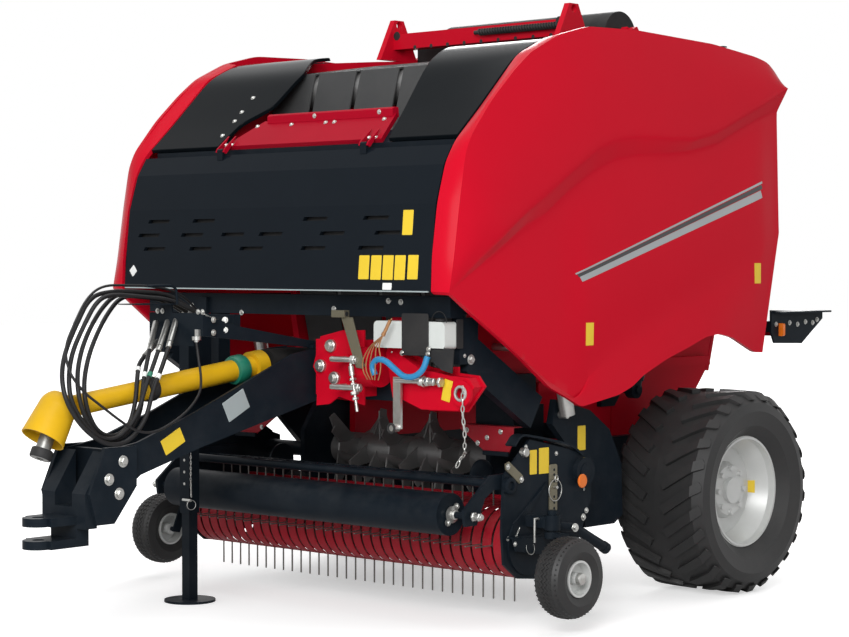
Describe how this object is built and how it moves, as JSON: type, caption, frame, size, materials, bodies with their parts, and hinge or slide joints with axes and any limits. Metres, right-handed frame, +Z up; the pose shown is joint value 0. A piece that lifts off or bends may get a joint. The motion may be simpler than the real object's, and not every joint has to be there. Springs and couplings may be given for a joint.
{
  "type": "round baler",
  "caption": "Towed round baler with a tined pickup, feeder rotor, belt bale chamber and lifting tailgate, standing on its wheels and jack.",
  "frame": {"origin": "on the ground, below the middle of the machine's length and width", "axes": "+Z up, -Y towards the hitch, +X the machine's left side"},
  "size_m": [2.995, 4.7399, 3.065],
  "materials": {
    "band_red": "gloss paint",
    "belt_rubber": "matt ribbed",
    "body_red": "gloss paint",
    "bonnet_black": "gloss paint",
    "cover_plastic": "matt",
    "frame_black": "satin paint",
    "guard_yellow": "satin",
    "hose_rubber": "satin",
    "panel_red": "gloss",
    "rim_silver": "satin paint",
    "rod_chrome": "polished",
    "roller_steel": "worn satin paint",
    "tank_white": "translucent white",
    "tine_steel": "oiled spring steel",
    "tyre": "matt rubber",
    "yoke_steel": "galvanised"
  },
  "bodies": {
    "chassis": {"axle": "frame_black", "cable_line": "hose_rubber", "centre_panel": "body_red", "chamber_walls": "body_red", "drawbar": "frame_black", "drive_boot": "cover_plastic", "front_belts": "belt_rubber", "front_frame": "frame_black", "front_rollers": "roller_steel", "gearbox": "body_red", "hinge_cover": "cover_plastic", "hitch_head": "frame_black", "hose_couplers": "yoke_steel", "hose_holder": "frame_black", "hose_line_1": "hose_rubber", "hose_line_2": "hose_rubber", "hose_line_3": "hose_rubber", "hose_line_4": "hose_rubber", "oil_tank": "tank_white", "pickup_carrier": "frame_black", "pto_rear": "guard_yellow", "side_frame": "frame_black", "stand_tube": "frame_black", "top_beam": "body_red", "wings": "bonnet_black", "zinc_fittings": "yoke_steel"},
    "wheel_left": {"main_tyre_left": "tyre", "main_rim_left": "rim_silver"},
    "side_panel_body_left": {"side_panel_left": "panel_red"},
    "barrel_left": {"cylinder_barrel_left": "frame_black"},
    "rod_left": {"cylinder_rod_left": "rod_chrome"},
    "castor_left": {"gauge_fork_left": "frame_black"},
    "gauge_wheel_left": {"gauge_tyre_left": "tyre", "gauge_rim_left": "rim_silver"},
    "wheel_right": {"main_tyre_right": "tyre", "main_rim_right": "rim_silver"},
    "side_panel_body_right": {"side_panel_right": "panel_red"},
    "barrel_right": {"cylinder_barrel_right": "frame_black"},
    "rod_right": {"cylinder_rod_right": "rod_chrome"},
    "castor_right": {"gauge_fork_right": "frame_black"},
    "gauge_wheel_right": {"gauge_tyre_right": "tyre", "gauge_rim_right": "rim_silver"},
    "tailgate": {"tailgate_walls": "body_red", "tailgate_cover": "body_red", "tailgate_rollers": "roller_steel", "tailgate_belts": "belt_rubber", "lamp_bracket": "frame_black"},
    "bonnet_body": {"bonnet": "bonnet_black"},
    "pickup": {"pickup_frame": "frame_black", "stripper_bands": "band_red"},
    "reel": {"pickup_reel": "tine_steel"},
    "windguard_body": {"windguard": "frame_black"},
    "press_roller": {"crop_roller": "frame_black"},
    "feeder": {"feeder_rotor": "roller_steel"},
    "jack_leg": {"stand_leg": "frame_black"},
    "pto_slide_half": {"pto_front": "guard_yellow"},
    "pto_bell_body": {"pto_bell": "guard_yellow"},
    "pto_end": {"pto_yoke": "yoke_steel"}
  },
  "joints": [
    {"name": "wheel_left_spin", "type": "hinge", "parent": "chassis", "child": "wheel_left", "pos_m": [1.11, 1.26, 0.53], "axis": [1, 0, 0], "continuous": true},
    {"name": "wheel_right_spin", "type": "hinge", "parent": "chassis", "child": "wheel_right", "pos_m": [-1.11, 1.26, 0.53], "axis": [1, 0, 0], "continuous": true},
    {"name": "tailgate_lift", "type": "hinge", "parent": "chassis", "child": "tailgate", "pos_m": [0, 1.145, 2.9], "axis": [1, 0, 0], "range_deg": [0, 60]},
    {"name": "barrel_left_swing", "type": "hinge", "parent": "chassis", "child": "barrel_left", "pos_m": [0.79, 1, 1.05], "axis": [1, 0, 0], "range_deg": [-2.46, 0.5]},
    {"name": "rod_left_extend", "type": "slide", "parent": "barrel_left", "child": "rod_left", "axis": [0, 0.359, 0.9333], "range_m": [0, 0.6541]},
    {"name": "side_panel_left_open", "type": "hinge", "parent": "chassis", "child": "side_panel_body_left", "pos_m": [1.066, 0.57, 2.838], "axis": [0, -1, 0], "range_deg": [0, 70]},
    {"name": "barrel_right_swing", "type": "hinge", "parent": "chassis", "child": "barrel_right", "pos_m": [-0.79, 1, 1.05], "axis": [1, 0, 0], "range_deg": [-2.46, 0.5]},
    {"name": "rod_right_extend", "type": "slide", "parent": "barrel_right", "child": "rod_right", "axis": [0, 0.359, 0.9333], "range_m": [0, 0.6541]},
    {"name": "side_panel_right_open", "type": "hinge", "parent": "chassis", "child": "side_panel_body_right", "pos_m": [-1.066, 0.57, 2.838], "axis": [0, 1, 0], "range_deg": [0, 70]},
    {"name": "bonnet_open", "type": "hinge", "parent": "chassis", "child": "bonnet_body", "pos_m": [0, -0.764, 2.281], "axis": [-1, 0, 0], "range_deg": [0, 75]},
    {"name": "pickup_lift", "type": "hinge", "parent": "chassis", "child": "pickup", "pos_m": [0, 0.16, 0.7], "axis": [-1, 0, 0], "range_deg": [-7.5, 8]},
    {"name": "reel_spin", "type": "hinge", "parent": "pickup", "child": "reel", "pos_m": [0, -0.255, 0.385], "axis": [1, 0, 0], "continuous": true},
    {"name": "windguard_swing", "type": "hinge", "parent": "pickup", "child": "windguard_body", "pos_m": [0, -0.15, 0.69], "axis": [-1, 0, 0], "range_deg": [0, 20]},
    {"name": "press_roller_spin", "type": "hinge", "parent": "windguard_body", "child": "press_roller", "pos_m": [0, -0.64, 0.545], "axis": [1, 0, 0], "continuous": true},
    {"name": "feeder_spin", "type": "hinge", "parent": "chassis", "child": "feeder", "pos_m": [0, 0.215, 0.72], "axis": [1, 0, 0], "continuous": true},
    {"name": "castor_left_swivel", "type": "hinge", "parent": "pickup", "child": "castor_left", "pos_m": [1.25, -0.25, 0.497], "axis": [0, 0, 1], "range_deg": [-25, 25]},
    {"name": "gauge_wheel_left_spin", "type": "hinge", "parent": "castor_left", "child": "gauge_wheel_left", "pos_m": [1.42, -0.338, 0.261], "axis": [1, 0, 0], "continuous": true},
    {"name": "castor_right_swivel", "type": "hinge", "parent": "pickup", "child": "castor_right", "pos_m": [-1.25, -0.25, 0.497], "axis": [0, 0, 1], "range_deg": [-25, 25]},
    {"name": "gauge_wheel_right_spin", "type": "hinge", "parent": "castor_right", "child": "gauge_wheel_right", "pos_m": [-1.42, -0.338, 0.261], "axis": [1, 0, 0], "continuous": true},
    {"name": "stand_slide", "type": "slide", "parent": "chassis", "child": "jack_leg", "axis": [0, 0, 1], "range_m": [0, 0.35]},
    {"name": "pto_telescope", "type": "slide", "parent": "chassis", "child": "pto_slide_half", "axis": [0, -0.9921, -0.1251], "range_m": [0, 0.2]},
    {"name": "pto_bell_swing", "type": "hinge", "parent": "pto_slide_half", "child": "pto_bell_body", "pos_m": [0, -2.195, 1.07], "axis": [-1, 0, 0], "range_deg": [0, 50]},
    {"name": "pto_spin", "type": "hinge", "parent": "pto_bell_body", "child": "pto_end", "pos_m": [0, -2.195, 1.07], "axis": [0, -0.4067, -0.9135], "continuous": true}
  ],
  "couplings": [
    {"joint": "barrel_left_swing", "follows": "tailgate_lift", "ratio": -0.032608},
    {"joint": "rod_left_extend", "follows": "tailgate_lift", "m_per_rad": 0.62269},
    {"joint": "barrel_right_swing", "follows": "tailgate_lift", "ratio": -0.032608},
    {"joint": "rod_right_extend", "follows": "tailgate_lift", "m_per_rad": 0.62269}
  ]
}
